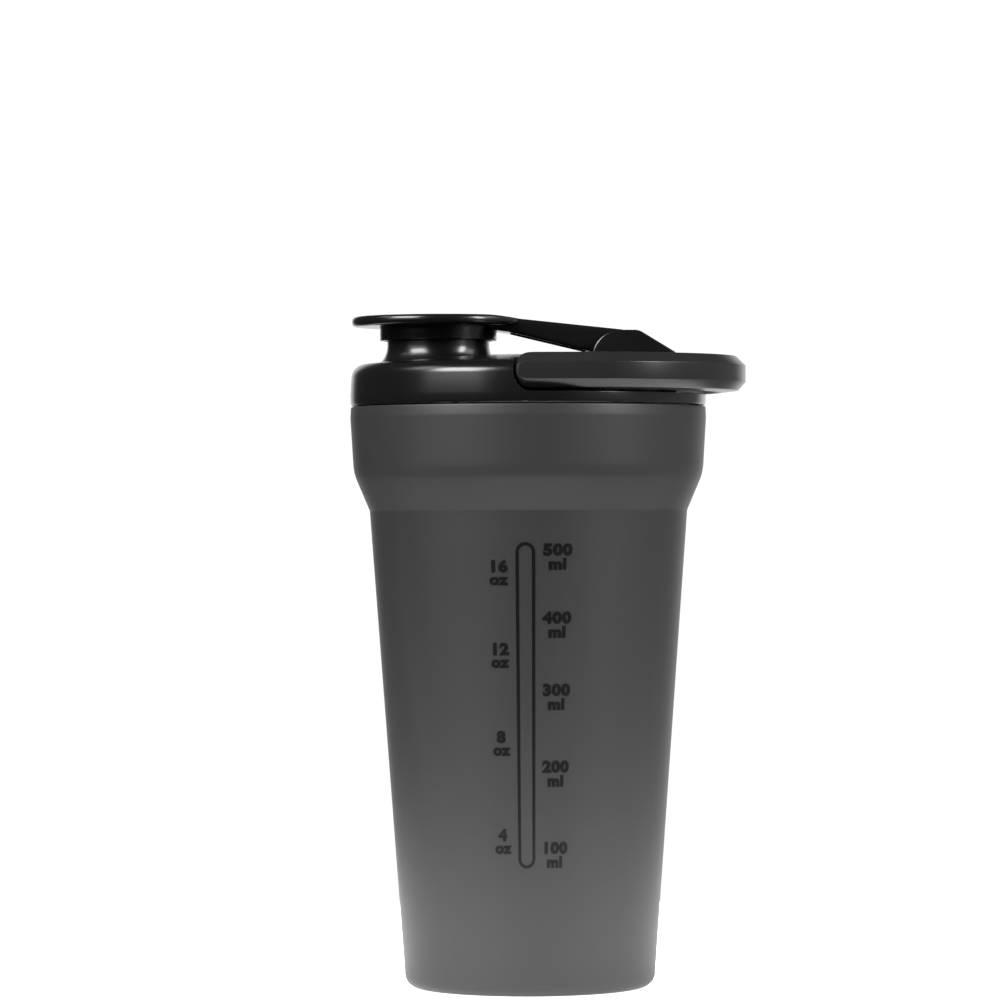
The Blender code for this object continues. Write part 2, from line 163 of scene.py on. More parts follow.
def group_socket(group, name, kind, way="INPUT", value=None):
    """A named input or output of a node group."""
    socket = group.interface.new_socket(name=name, in_out=way, socket_type=kind)
    if value is not None:
        socket.default_value = value
    return socket


def math_node(nodes, links, operation, first, second):
    """A Math node with its two inputs linked from sockets or set to numbers."""
    node = nodes.new("ShaderNodeMath")
    node.operation = operation
    for slot, value in zip(node.inputs, (first, second)):
        if isinstance(value, (int, float)):
            slot.default_value = value
        else:
            links.new(value, slot)
    return node.outputs[0]


def build_moulded_surface():
    """The surface that every moulded plastic piece has: spark-eroded grain, slow flow marks and rubbed spots."""
    group = bpy.data.node_groups.new("moulded_surface", "ShaderNodeTree")
    given_values = {"Roughness": 0.35, "Grain Scale": 2500.0, "Grain Depth": 0.4, "Flow": 0.04, "Rub": 0.05}
    for label, value in given_values.items():
        group_socket(group, label, "NodeSocketFloat", value=value)
    for label in ("Roughness", "Height", "Shade"):
        group_socket(group, label, "NodeSocketFloat", "OUTPUT")
    nodes, links = group.nodes, group.links
    given, out = nodes.new("NodeGroupInput"), nodes.new("NodeGroupOutput")
    place = nodes.new("ShaderNodeTexCoord")
    grain = nodes.new("ShaderNodeTexNoise")
    grain.inputs["Detail"].default_value = 3.0
    links.new(place.outputs["Object"], grain.inputs["Vector"])
    links.new(given.outputs["Grain Scale"], grain.inputs["Scale"])
    stretch = nodes.new("ShaderNodeMapping")
    stretch.inputs["Scale"].default_value = (38.0, 38.0, 9.0)
    links.new(place.outputs["Object"], stretch.inputs["Vector"])
    flow = nodes.new("ShaderNodeTexNoise")
    flow.inputs["Scale"].default_value = 1.0
    flow.inputs["Detail"].default_value = 4.0
    flow.inputs["Distortion"].default_value = 0.6
    links.new(stretch.outputs["Vector"], flow.inputs["Vector"])
    rub = nodes.new("ShaderNodeTexNoise")
    rub.inputs["Scale"].default_value = 140.0
    rub.inputs["Detail"].default_value = 6.0
    rub.inputs["Roughness"].default_value = 0.7
    links.new(place.outputs["Object"], rub.inputs["Vector"])
    spots = nodes.new("ShaderNodeMapRange")
    spots.inputs["From Min"].default_value = 0.58
    spots.inputs["From Max"].default_value = 0.78
    links.new(rub.outputs["Fac"], spots.inputs["Value"])
    swing = math_node(nodes, links, "SUBTRACT", flow.outputs["Fac"], 0.5)
    flow_part = math_node(nodes, links, "MULTIPLY", swing, given.outputs["Flow"])
    rub_part = math_node(nodes, links, "MULTIPLY", spots.outputs["Result"], given.outputs["Rub"])
    sum_part = math_node(nodes, links, "ADD", flow_part, rub_part)
    rough = math_node(nodes, links, "ADD", given.outputs["Roughness"], sum_part)
    height = math_node(nodes, links, "MULTIPLY", grain.outputs["Fac"], given.outputs["Grain Depth"])
    links.new(rough, out.inputs["Roughness"])
    links.new(height, out.inputs["Height"])
    links.new(flow.outputs["Fac"], out.inputs["Shade"])
    return group


moulded_surface = build_moulded_surface()
GRAIN_RELIEF = 0.006


def plastic(name, dark, light, roughness, grain_scale, grain_depth, flow, rub, specular=0.5):
    """A moulded plastic whose grey drifts between dark and light, on the shared moulded surface."""
    material = bpy.data.materials.new(name)
    material.use_nodes = True
    nodes, links = material.node_tree.nodes, material.node_tree.links
    shader = nodes["Principled BSDF"]
    shader.inputs["Specular IOR Level"].default_value = specular
    surface = nodes.new("ShaderNodeGroup")
    surface.node_tree = moulded_surface
    labels = ("Roughness", "Grain Scale", "Grain Depth", "Flow", "Rub")
    for label, value in zip(labels, (roughness, grain_scale, grain_depth, flow, rub)):
        surface.inputs[label].default_value = value
    tint = nodes.new("ShaderNodeValToRGB")
    for stop, position, grey in zip(tint.color_ramp.elements, (0.3, 0.7), (dark, light)):
        stop.position = position
        stop.color = (grey, grey, grey, 1.0)
    links.new(surface.outputs["Shade"], tint.inputs["Fac"])
    links.new(tint.outputs["Color"], shader.inputs["Base Color"])
    links.new(surface.outputs["Roughness"], shader.inputs["Roughness"])
    relief = nodes.new("ShaderNodeBump")
    relief.inputs["Strength"].default_value = 0.25
    relief.inputs["Distance"].default_value = GRAIN_RELIEF * MM
    links.new(surface.outputs["Height"], relief.inputs["Height"])
    links.new(relief.outputs["Normal"], shader.inputs["Normal"])
    return material


smoked_plastic = plastic("smoked_plastic", 0.0185, 0.0215, 0.48, 1800.0, 0.3, 0.06, 0.04, specular=0.52)

cup = turned("shaker_cup", cup_outline(), sharp=50)
cup.data.materials.append(smoked_plastic)
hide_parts("cup")
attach(cup, "cup")

# --- Cup thread ------------------------------------------------------------------------------------
# Three short right-handed ribs stand inside the collar, moulded with it. The lid's ribs climb under
# them. One node tree makes the ribs of both threads from their radius, size and rise.

THREAD_LEAD = 18.0
THREAD_SPAN = 150.0
THREAD_STARTS = 3
FEMALE_BOTTOM = 155.0
MALE_DROP = 2.4
RIB_HALF = 0.8
CUP_THREAD_RADIUS = 47.95


def node_inputs(group, numbers):
    """Named inputs of a tree for its sizes and counts, and its material, as names and identifiers."""
    ids = {}
    for name, value in numbers.items():
        kind = "NodeSocketInt" if isinstance(value, int) else "NodeSocketFloat"
        ids[name] = group_socket(group, name, kind, "INPUT", value).identifier
    ids["Material"] = group_socket(group, "Material", "NodeSocketMaterial").identifier
    group_socket(group, "Geometry", "NodeSocketGeometry", "OUTPUT")
    return ids


def repeat_round(nodes, links, given, out, mesh, count, level):
    """Ends a tree: repeats a mesh round the axis, raises it to a level, and gives it its material."""
    points = nodes.new("GeometryNodePoints")
    links.new(given.outputs[count], points.inputs["Count"])
    number = nodes.new("GeometryNodeInputIndex")
    step = math_node(nodes, links, "DIVIDE", math.tau, given.outputs[count])
    angles = nodes.new("ShaderNodeCombineXYZ")
    links.new(math_node(nodes, links, "MULTIPLY", number.outputs["Index"], step), angles.inputs["Z"])
    place = nodes.new("GeometryNodeInstanceOnPoints")
    links.new(points.outputs[0], place.inputs["Points"])
    links.new(mesh, place.inputs["Instance"])
    links.new(angles.outputs["Vector"], place.inputs["Rotation"])
    raise_by = nodes.new("ShaderNodeCombineXYZ")
    links.new(given.outputs[level], raise_by.inputs["Z"])
    lift = nodes.new("GeometryNodeTransform")
    links.new(place.outputs["Instances"], lift.inputs["Geometry"])
    links.new(raise_by.outputs["Vector"], lift.inputs["Translation"])
    real = nodes.new("GeometryNodeRealizeInstances")
    links.new(lift.outputs["Geometry"], real.inputs["Geometry"])
    finish = nodes.new("GeometryNodeSetMaterial")
    links.new(real.outputs["Geometry"], finish.inputs["Geometry"])
    links.new(given.outputs["Material"], finish.inputs["Material"])
    links.new(finish.outputs["Geometry"], out.inputs["Geometry"])


def build_thread_ribs():
    """Geometry nodes: a helix with a rounded rib swept along it, repeated round the axis."""
    group = bpy.data.node_groups.new("thread_ribs", "GeometryNodeTree")
    sizes = {"Radius": 0.047, "Rise": 0.0075, "Turns": 0.4, "Rib Radius": 0.0008, "Starts": 3, "Bottom": 0.155}
    ids = node_inputs(group, sizes)
    nodes, links = group.nodes, group.links
    given, out = nodes.new("NodeGroupInput"), nodes.new("NodeGroupOutput")
    helix = nodes.new("GeometryNodeCurveSpiral")
    helix.inputs["Resolution"].default_value = 96
    helix.inputs["Reverse"].default_value = False
    links.new(given.outputs["Turns"], helix.inputs["Rotations"])
    links.new(given.outputs["Radius"], helix.inputs["Start Radius"])
    links.new(given.outputs["Radius"], helix.inputs["End Radius"])
    links.new(given.outputs["Rise"], helix.inputs["Height"])
    share = nodes.new("GeometryNodeSplineParameter")
    taper = nodes.new("ShaderNodeFloatCurve")
    curve = taper.mapping.curves[0]
    curve.points[0].location = (0.0, 0.25)
    curve.points[1].location = (1.0, 0.25)
    curve.points.new(0.14, 1.0)
    curve.points.new(0.86, 1.0)
    taper.mapping.update()
    links.new(share.outputs["Factor"], taper.inputs["Value"])
    profile = nodes.new("GeometryNodeCurvePrimitiveCircle")
    profile.inputs["Resolution"].default_value = 12
    links.new(given.outputs["Rib Radius"], profile.inputs["Radius"])
    sweep = nodes.new("GeometryNodeCurveToMesh")
    sweep.inputs["Fill Caps"].default_value = True
    links.new(helix.outputs["Curve"], sweep.inputs["Curve"])
    links.new(profile.outputs["Curve"], sweep.inputs["Profile Curve"])
    links.new(taper.outputs["Value"], sweep.inputs["Scale"])
    repeat_round(nodes, links, given, out, sweep.outputs["Mesh"], "Starts", "Bottom")
    return group, ids


def grown(name, tree, ids, values):
    """The plain mesh that a geometry node tree makes from its named inputs."""
    seed = bpy.data.objects.new(f"{name}_seed", bpy.data.meshes.new(f"{name}_seed"))
    bpy.context.scene.collection.objects.link(seed)
    modifier = seed.modifiers.new("shape", "NODES")
    modifier.node_group = tree
    for label, value in values.items():
        modifier[ids[label]] = value
    seen = seed.evaluated_get(bpy.context.evaluated_depsgraph_get())
    mesh = bpy.data.meshes.new_from_object(seen)
    bpy.data.objects.remove(seed)
    mesh.name = name
    mesh.shade_smooth()
    mesh.set_sharp_from_angle(angle=math.radians(40))
    piece = bpy.data.objects.new(name, mesh)
    bpy.context.scene.collection.objects.link(piece)
    return piece


thread_ribs, thread_ids = build_thread_ribs()


def thread(name, radius, bottom, material):
    """The ribs of one thread, at a radius and a lowest height."""
    turns = THREAD_SPAN / 360
    values = {"Radius": radius * MM, "Rise": THREAD_LEAD * turns * MM, "Turns": turns, "Rib Radius": RIB_HALF * MM}
    values |= {"Starts": THREAD_STARTS, "Bottom": bottom * MM, "Material": material}
    return grown(name, thread_ribs, thread_ids, values)


cup_thread = thread("cup_thread", CUP_THREAD_RADIUS, FEMALE_BOTTOM, smoked_plastic)
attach(cup_thread, "cup")

# --- Graduations -----------------------------------------------------------------------------------
# Black pad-printed marks on the front of the cup: an upright slot outline, millilitres on its right and
# ounces on its left. The ink is a thin film that follows the wall.

INK_LIFT = 0.02
INK_THICK = 0.05
SLOT_TOP = 127.2
SLOT_BOTTOM = 36.2
SLOT_X = -1.2
SLOT_HALF = 2.8
SLOT_LINE = 0.95
DIGIT_SIZE = 4.3
UNIT_SIZE = 4.1
PRINT_WEIGHT = 0.065
PRINT_STRETCH = 1.2
ML_MARKS = {"500": 123.6, "400": 104.7, "300": 84.6, "200": 63.2, "100": 40.5}
OZ_MARKS = {"16": 119.0, "12": 96.0, "8": 71.5, "4": 44.1}
ML_X = 8.0
OZ_X = -9.0
ML_UNIT_DROP = 3.9
OZ_UNIT_DROP = 3.55


def on_wall(x, z, lift):
    """A point of the front of the cup. The print narrows with the wall, so x is measured at the wall's top."""
    radius = wall_radius(z) + lift
    angle = x / WALL_TOP_RADIUS
    return Vector((radius * math.sin(angle), -radius * math.cos(angle), z)) * MM


def printed_text(body, x, z, size):
    """One printed word as a flat mesh in XZ, centred on x, with its foot at z."""
    words = bpy.data.curves.new(f"mark_{body}", "FONT")
    words.body = body
    words.size = size
    words.align_x = "CENTER"
    words.offset = size * PRINT_WEIGHT
    words.space_character = 1.1
    words.resolution_u = 3
    words.extrude = 0.0
    holder = bpy.data.objects.new("mark_holder", words)
    bpy.context.scene.collection.objects.link(holder)
    mesh = bpy.data.meshes.new_from_object(holder.evaluated_get(bpy.context.evaluated_depsgraph_get()))
    bpy.data.objects.remove(holder)
    upright = Matrix.Rotation(math.radians(90), 4, "X") @ Matrix.Scale(PRINT_STRETCH, 4, (1, 0, 0))
    mesh.transform(Matrix.Translation((x, 0, z)) @ upright)
    return mesh


def slot_outline(inset):
    """The long rounded slot, drawn in by inset on every side."""
    half, high, low = SLOT_HALF - inset, SLOT_TOP - SLOT_HALF, SLOT_BOTTOM + SLOT_HALF
    right = [(half, low + (high - low) * k / 24) for k in range(25)]
    left = [(-x, z) for x, z in reversed(right)]
    return right + arc((0, high), half, 0, 180, 16)[1:-1] + left + arc((0, low), half, 180, 360, 16)[1:-1]


def make_graduations():
    """All the marks, drawn flat, then bent on to the wall as one closed film."""
    flat = bmesh.new()
    for marks, x, unit, drop in ((ML_MARKS, ML_X, "ml", ML_UNIT_DROP), (OZ_MARKS, OZ_X, "oz", OZ_UNIT_DROP)):
        for number, z in marks.items():
            flat.from_mesh(printed_text(number, x, z, DIGIT_SIZE))
            flat.from_mesh(printed_text(unit, x, z - drop, UNIT_SIZE))
    outer, inner = slot_outline(0.0), slot_outline(SLOT_LINE)
    ring_out = [flat.verts.new((SLOT_X + x, 0, z)) for x, z in outer]
    ring_in = [flat.verts.new((SLOT_X + x, 0, z)) for x, z in inner]
    for i in range(len(outer)):
        j = (i + 1) % len(outer)
        flat.faces.new((ring_out[i], ring_out[j], ring_in[j], ring_in[i]))
    bmesh.ops.remove_doubles(flat, verts=flat.verts, dist=1e-4)
    bmesh.ops.triangulate(flat, faces=flat.faces)
    bmesh.ops.recalc_face_normals(flat, faces=flat.faces)
    for face in flat.faces:
        if face.normal.y > 0:
            face.normal_flip()
    film = bmesh.new()
    fronts, backs = {}, {}
    for vert in flat.verts:
        fronts[vert] = film.verts.new(on_wall(vert.co.x, vert.co.z, INK_LIFT + INK_THICK))
        backs[vert] = film.verts.new(on_wall(vert.co.x, vert.co.z, -INK_THICK))
    for face in flat.faces:
        film.faces.new([fronts[v] for v in face.verts])
        film.faces.new([backs[v] for v in reversed(face.verts)])
    for edge in flat.edges:
        if edge.is_boundary:
            loop = edge.link_loops[0]
            a, b = loop.vert, loop.link_loop_next.vert
            film.faces.new((fronts[b], fronts[a], backs[a], backs[b]))
    flat.free()
    return make_piece("graduations", film, 30)


graduation_ink = plastic("graduation_ink", 0.002, 0.003, 0.38, 2500.0, 0.2, 0.05, 0.03, specular=0.3)
graduations = make_graduations()
graduations.data.materials.append(graduation_ink)
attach(graduations, "cup")

# --- Mixing grid -----------------------------------------------------------------------------------
# A black moulded grid that breaks up clumps of powder. Its rim plugs into the lid's skirt, and round
# bars and spokes make its plate. The bars are turned, and a node tree repeats the spokes.

grid_low, grid_high = (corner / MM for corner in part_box("mixing_grid"))
GRID_PLATE = 1.6
GRID_HUB = 6.6
GRID_HUB_HALF = 2.6
GRID_BARS = (15.2, 23.8, 32.4)
GRID_BAR_HALF = 1.7
GRID_RIM_INNER = 39.6
GRID_RIM_WALL = 1.6
GRID_SPOKES = 6
GRID_SPOKE_WIDTH = 3.0

black_grid = plastic("grid_plastic", 0.012, 0.018, 0.45, 2200.0, 0.5, 0.08, 0.06)


def build_grid_plate():
    """Geometry nodes: flat spokes repeated round the middle."""
    group = bpy.data.node_groups.new("grid_plate", "GeometryNodeTree")
    ids = node_inputs(group, {"Spokes": 6, "Reach": 0.042, "Width": 0.003, "Height": 0.0016, "Level": 0.15})
    nodes, links = group.nodes, group.links
    given, out = nodes.new("NodeGroupInput"), nodes.new("NodeGroupOutput")
    size = nodes.new("ShaderNodeCombineXYZ")
    links.new(given.outputs["Reach"], size.inputs["X"])
    links.new(given.outputs["Width"], size.inputs["Y"])
    links.new(given.outputs["Height"], size.inputs["Z"])
    bar = nodes.new("GeometryNodeMeshCube")
    links.new(size.outputs["Vector"], bar.inputs["Size"])
    out_by = nodes.new("ShaderNodeCombineXYZ")
    links.new(math_node(nodes, links, "MULTIPLY", given.outputs["Reach"], 0.5), out_by.inputs["X"])
    shift = nodes.new("GeometryNodeTransform")
    links.new(bar.outputs["Mesh"], shift.inputs["Geometry"])
    links.new(out_by.outputs["Vector"], shift.inputs["Translation"])
    repeat_round(nodes, links, given, out, shift.outputs["Geometry"], "Spokes", "Level")
    return group, ids


def ring_outline(inner, outer, low, high, corner=0.3):
    """The closed section of a ring with rounded corners."""
    corners = [(inner, low, corner), (outer, low, corner), (outer, high, corner), (inner, high, corner)]
    return rounded(corners, closed=True, steps=3)


def fused(name, parts, material, sharp=35):
    """One solid from several closed ones, smooth-shaded with its sharp edges kept."""
    first, others = parts[0], parts[1:]
    for other in others:
        modifier = first.modifiers.new("fuse", "BOOLEAN")
        modifier.operation = "UNION"
        modifier.object = other
    mesh = bpy.data.meshes.new_from_object(first.evaluated_get(bpy.context.evaluated_depsgraph_get()))
    for part in parts:
        bpy.data.objects.remove(part)
    mesh.name = name
    mesh.materials.clear()
    mesh.materials.append(material)
    mesh.shade_smooth()
    mesh.set_sharp_from_angle(angle=math.radians(sharp))
    piece = bpy.data.objects.new(name, mesh)
    bpy.context.scene.collection.objects.link(piece)
    return piece


grid_tree, grid_ids = build_grid_plate()
plate_top = grid_low.z + GRID_PLATE
rim_section = [
    (GRID_RIM_INNER, grid_low.z, 0.3),
    (grid_high.x, grid_low.z, 0.4),
    (grid_high.x, grid_high.z, 0.5),
    (grid_high.x - GRID_RIM_WALL, grid_high.z, 0.5),
    (grid_high.x - GRID_RIM_WALL, plate_top, 0.4),
    (GRID_RIM_INNER, plate_top, 0.3),
]
grid_parts = [turned("grid_rim", rounded(rim_section, closed=True, steps=3), steps=144)]
for middle, half in [(GRID_HUB, GRID_HUB_HALF)] + [(middle, GRID_BAR_HALF) for middle in GRID_BARS]:
    section = ring_outline(middle - half, middle + half, grid_low.z, plate_top)
    grid_parts.append(turned("grid_bar", section, steps=96))
spoke_sizes = {
    "Spokes": GRID_SPOKES,
    "Reach": (grid_high.x - 3.0) * MM,
    "Width": GRID_SPOKE_WIDTH * MM,
    "Height": (GRID_PLATE - 0.2) * MM,
    "Level": (grid_low.z + GRID_PLATE / 2) * MM,
    "Material": black_grid,
}
grid_parts.append(grown("grid_spokes", grid_tree, grid_ids, spoke_sizes))
grid = fused("grid", grid_parts, black_grid)
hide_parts("mixing_grid")
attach(grid, "grid")

# --- Lid gasket ------------------------------------------------------------------------------------
# A flat grey silicone ring lies in the groove under the lid's flange and seals on the cup's rim.
# It is moulded, with a soft sheen and rounded corners.

gasket_low, gasket_high = (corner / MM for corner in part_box("lid_gasket"))
GASKET_WIDTH = 2.3

silicone = plastic("silicone", 0.10, 0.13, 0.55, 900.0, 0.3, 0.08, 0.1)
silicone.node_tree.nodes["Principled BSDF"].inputs["Sheen Weight"].default_value = 0.15

gasket = turned(
    "gasket_ring",
    ring_outline(gasket_high.x - GASKET_WIDTH, gasket_high.x, gasket_low.z, gasket_high.z, 0.45),
    steps=192,
)
gasket.data.materials.append(silicone)
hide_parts("lid_gasket")
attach(gasket, "gasket")

# --- Lid shell -------------------------------------------------------------------------------------
# The lid is one black moulding: a threaded skirt, a flange that meets the collar, a rounded shoulder, a
# shallow dome, the spout, the hinge bracket, and a recess that the carry loop lies in.

LID_STEPS = 240
lid_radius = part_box("lid_shell")[1].x / MM
lid_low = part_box("lid_shell")[0].z / MM
SKIRT_RADIUS = 46.4
SKIRT_BORE = 44.4
GROOVE_TOP = 167.5
GROOVE_RADIUS = 49.5
LID_BOTTOM = 165.9
SHOULDER_START = 174.2
SHOULDER_ROUND = 4.0
DOME_TOP = 180.6
DOME_FALL = 775.0
DECK_RADIUS = 41.0
LEDGE_TOP = 169.0
RECESS_END = -4.4
SPOUT_X = -25.6
SPOUT_RADIUS = 14.6
SPOUT_BORE = 12.3
SPOUT_TOP = 187.0
SPOUT_FLARE = 7.0
SPOUT_FLARE_TOP = 183.2
joints = {joint["name"]: joint for joint in frame["record"]["behaviour"]["joints"]}
hinge_x, _, hinge_z = (value / MM for value in joints["cap_flip"]["pos_m"])
pivot_x, _, pivot_z = (value / MM for value in joints["loop_swing"]["pos_m"])
CHEEK_INNER = 10.5
CHEEK_OUTER = 13.5
CHEEK_ROUND = 7.9
CHEEK_TOP = 187.1
PIN_HOLE = 1.6
BOSS_RADIUS = 4.2
BOSS_SPAN = (34.8, 39.6)
LID_WALL = 2.2
RIB_STAND = 0.45

black_plastic = plastic("black_plastic", 0.0035, 0.0045, 0.23, 2600.0, 0.25, 0.05, 0.05)


def dome_height(radius):
    """The height of the lid's shallow dome at a distance from the cup's axis."""
    return DOME_TOP - radius**2 / DOME_FALL


def extruded(name, outline, low, high):
    """A prism: an outline in XZ pushed along Y from low to high."""
    bm = bmesh.new()
    near = [bm.verts.new((x * MM, low * MM, z * MM)) for x, z in outline]
    far = [bm.verts.new((x * MM, high * MM, z * MM)) for x, z in outline]
    for i in range(len(outline)):
        j = (i + 1) % len(outline)
        bm.faces.new((near[i], near[j], far[j], far[i]))
    bm.faces.new(near)
    bm.faces.new(far)
    return make_piece(name, bm)


def baked(obj):
    """Turns an object's modifiers into its own mesh."""
    mesh = bpy.data.meshes.new_from_object(obj.evaluated_get(bpy.context.evaluated_depsgraph_get()))
    obj.modifiers.clear()
    obj.data = mesh
    return obj


def combine(obj, operation, *tools):
    """Joins tools to an object, or cuts them out of it, and removes them."""
    for tool in tools:
        modifier = obj.modifiers.new("combine", "BOOLEAN")
        modifier.operation = operation
        modifier.object = tool
    baked(obj)
    for tool in tools:
        bpy.data.objects.remove(tool)
    return obj


def welded(obj, distance):
    """Merges points closer than distance, so that short edges do not limit the rounding of the long ones."""
    bm = bmesh.new()
    bm.from_mesh(obj.data)
    bmesh.ops.remove_doubles(bm, verts=bm.verts, dist=distance * MM)
    bmesh.ops.dissolve_degenerate(bm, edges=bm.edges, dist=distance * MM / 2)
    bm.to_mesh(obj.data)
    bm.free()
    return obj


def eased(obj, width, angle=32, segments=3):
    """Rounds the sharp edges of an object by width."""
    bevel = obj.modifiers.new("edge", "BEVEL")
    bevel.width = width * MM
    bevel.segments = segments
    bevel.limit_method = "ANGLE"
    bevel.angle_limit = math.radians(angle)
    bevel.use_clamp_overlap = True
    return baked(obj)


def lid_outline():
    """The lid's section before anything is cut: skirt, groove, flange, shoulder and dome."""
    shoulder = (lid_radius - 0.3 - SHOULDER_ROUND, SHOULDER_START - 0.35)
    lower = [
        (0, lid_low),
        (SKIRT_RADIUS, lid_low, 0.5),
        (SKIRT_RADIUS, GROOVE_TOP, 0.3),
        (GROOVE_RADIUS, GROOVE_TOP),
        (GROOVE_RADIUS, LID_BOTTOM),
        (lid_radius - 0.3, LID_BOTTOM, 0.2),
        (lid_radius - 0.06, 166.6, 1.5),
        (lid_radius, 168.6, 10.0),
        (lid_radius - 0.08, 171.2),
    ]
    upper = arc(shoulder, SHOULDER_ROUND, 5, 83, 14)
    dome = [(r, dome_height(r)) for r in range(43, 0, -2)] + [(0, DOME_TOP)]
    return divided(rounded(lower), 2.5) + upper + dome


def loop_recess():
    """The recess that the loop lies in. Its end is rounded about the loop's pivot."""
    end_round = pivot_x - RECESS_END
    last = 180 + math.degrees(math.asin((pivot_z - LEDGE_TOP) / end_round))
    outline = [(70, LEDGE_TOP), (70, 200), (RECESS_END, 200)]
    outline += arc((pivot_x, pivot_z), end_round, 180, last, 12)
    recess = extruded("recess_cutter", outline, -70, 70)
    core = turned("deck_core", [(0, 150), (DECK_RADIUS, 150), (DECK_RADIUS, 210), (0, 210)], steps=LID_STEPS)
    return combine(recess, "DIFFERENCE", core)


def hinge_bracket():
    """Two cheeks with humped tops, joined behind the arm by a sloping wall."""
    bottom = dome_height(DECK_RADIUS) - 0.4
    slope = rounded([(42.0, 180.6), (31.4, CHEEK_TOP, 4.5), (hinge_x, CHEEK_TOP)], steps=8)[:-1]
    outline = [(42.0, LEDGE_TOP - 1)] + slope
    outline += arc((hinge_x, CHEEK_TOP - CHEEK_ROUND), CHEEK_ROUND, 88, 180, 24)
    outline += [(hinge_x - CHEEK_ROUND, bottom), (36.0, bottom), (36.0, LEDGE_TOP - 1)]
    bracket = extruded("bracket", outline, -CHEEK_OUTER, CHEEK_OUTER)
    slot = [(10.0, 165), (38.5, 165), (38.5, 200), (10.0, 200)]
    combine(bracket, "DIFFERENCE", extruded("bracket_slot", slot, -CHEEK_INNER, CHEEK_INNER))
    return eased(bracket, 0.5)


def spout_neck():
    """The spout's outside: a foot that flares along the dome into a round, upright neck."""
    bm = bmesh.new()
    steps, levels = 144, 16
    rings = []
    reach = SPOUT_RADIUS + 2.5
    lip = [(0.0, -2.6), (0.0, -0.45), (-0.12, -0.16), (-0.42, 0.0)]
    for level in range(-1, levels + 1 + len(lip)):
        ring = []
        for step in range(steps):
            angle = math.tau * step / steps
            along, aside = SPOUT_X + reach * math.cos(angle), reach * math.sin(angle)
            foot = dome_height(math.hypot(along, aside)) - 0.1
            rise = math.asin((SPOUT_FLARE_TOP - foot) / SPOUT_FLARE) * (1 - min(max(level, 0), levels) / levels)
            radius = SPOUT_RADIUS + SPOUT_FLARE * (1 - math.cos(rise))
            height = SPOUT_FLARE_TOP - SPOUT_FLARE * math.sin(rise)
            if level < 0:
                height = 177.0
            elif level > levels:
                out_by, down = lip[level - levels - 1]
                radius, height = SPOUT_RADIUS + out_by, SPOUT_TOP + down
            x, y = SPOUT_X + radius * math.cos(angle), radius * math.sin(angle)
            ring.append(bm.verts.new((x * MM, y * MM, height * MM)))
        rings.append(ring)
    for low, high in zip(rings, rings[1:]):
        for i in range(steps):
            j = (i + 1) % steps
            bm.faces.new((low[i], low[j], high[j], high[i]))
    bm.faces.new(rings[0])
    bm.faces.new(rings[-1])
    return make_piece("neck", bm)


def lid_hollow():
    """The hollow inside the lid, which stays clear of the recess."""
    flange, roof = lid_radius - 2.4, GROOVE_TOP + LID_WALL
    outline = [(0, 140), (SKIRT_BORE, 140), (SKIRT_BORE, roof), (flange, roof), (flange, 173.6), (47.2, 175.2)]
    outline += [(r, dome_height(r) - LID_WALL) for r in (45.5, 38, 28, 14)] + [(0, DOME_TOP - LID_WALL)]
    hollow = turned("hollow_cutter", outline, steps=LID_STEPS)
    end, floor = RECESS_END - LID_WALL, LEDGE_TOP - LID_WALL
    keep = extruded("recess_wall", [(70, floor), (70, 200), (end, 200), (end, floor)], -70, 70)
    inner = DECK_RADIUS - LID_WALL
    core = turned("hollow_core", [(0, 150), (inner, 150), (inner, 210), (0, 210)], steps=LID_STEPS)
    combine(keep, "DIFFERENCE", core)
    return combine(hollow, "DIFFERENCE", keep)


def make_lid():
    """The lid: its turned body with the recess, then bracket and neck, then what is hollow, then the bosses."""
    lid = turned("lid", lid_outline(), steps=LID_STEPS)
    combine(lid, "DIFFERENCE", loop_recess())
    eased(welded(lid, 0.12), 0.6, angle=40)
    combine(lid, "UNION", hinge_bracket(), spout_neck())
    combine(lid, "DIFFERENCE", lid_hollow())
    lip = SPOUT_BORE + 0.6
    bore = [(0, 165), (SPOUT_BORE, 165), (SPOUT_BORE, SPOUT_TOP - 0.5), (lip, SPOUT_TOP + 0.1), (lip, 200), (0, 200)]
    hole = arc((hinge_x, hinge_z), PIN_HOLE, 0, 350, 35)
    bore_cutter = turned("bore_cutter", bore, steps=144, centre_x=SPOUT_X)
    combine(lid, "DIFFERENCE", bore_cutter, extruded("pin_hole_cutter", hole, -12.6, CHEEK_OUTER + 1))
    for side in (-1, 1):
        ends = sorted(side * end for end in BOSS_SPAN)
        boss = extruded("boss", arc((pivot_x, pivot_z), BOSS_RADIUS, 0, 350, 35), *ends)
        combine(lid, "UNION", boss)
    return lid


lid = make_lid()
lid.data.shade_smooth()
lid.data.set_sharp_from_angle(angle=math.radians(32))
lid.data.materials.clear()
lid.data.materials.append(black_plastic)
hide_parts("lid_shell")
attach(lid, "lid")

lid_thread = thread("lid_thread", SKIRT_RADIUS + RIB_STAND, FEMALE_BOTTOM - MALE_DROP, black_plastic)
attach(lid_thread, "lid")

# --- Pins ------------------------------------------------------------------------------------------
# Ground stainless steel dowels: one through the cap's knuckle and both cheeks, and one in each boss for
# an arm of the loop. Their ends are chamfered.

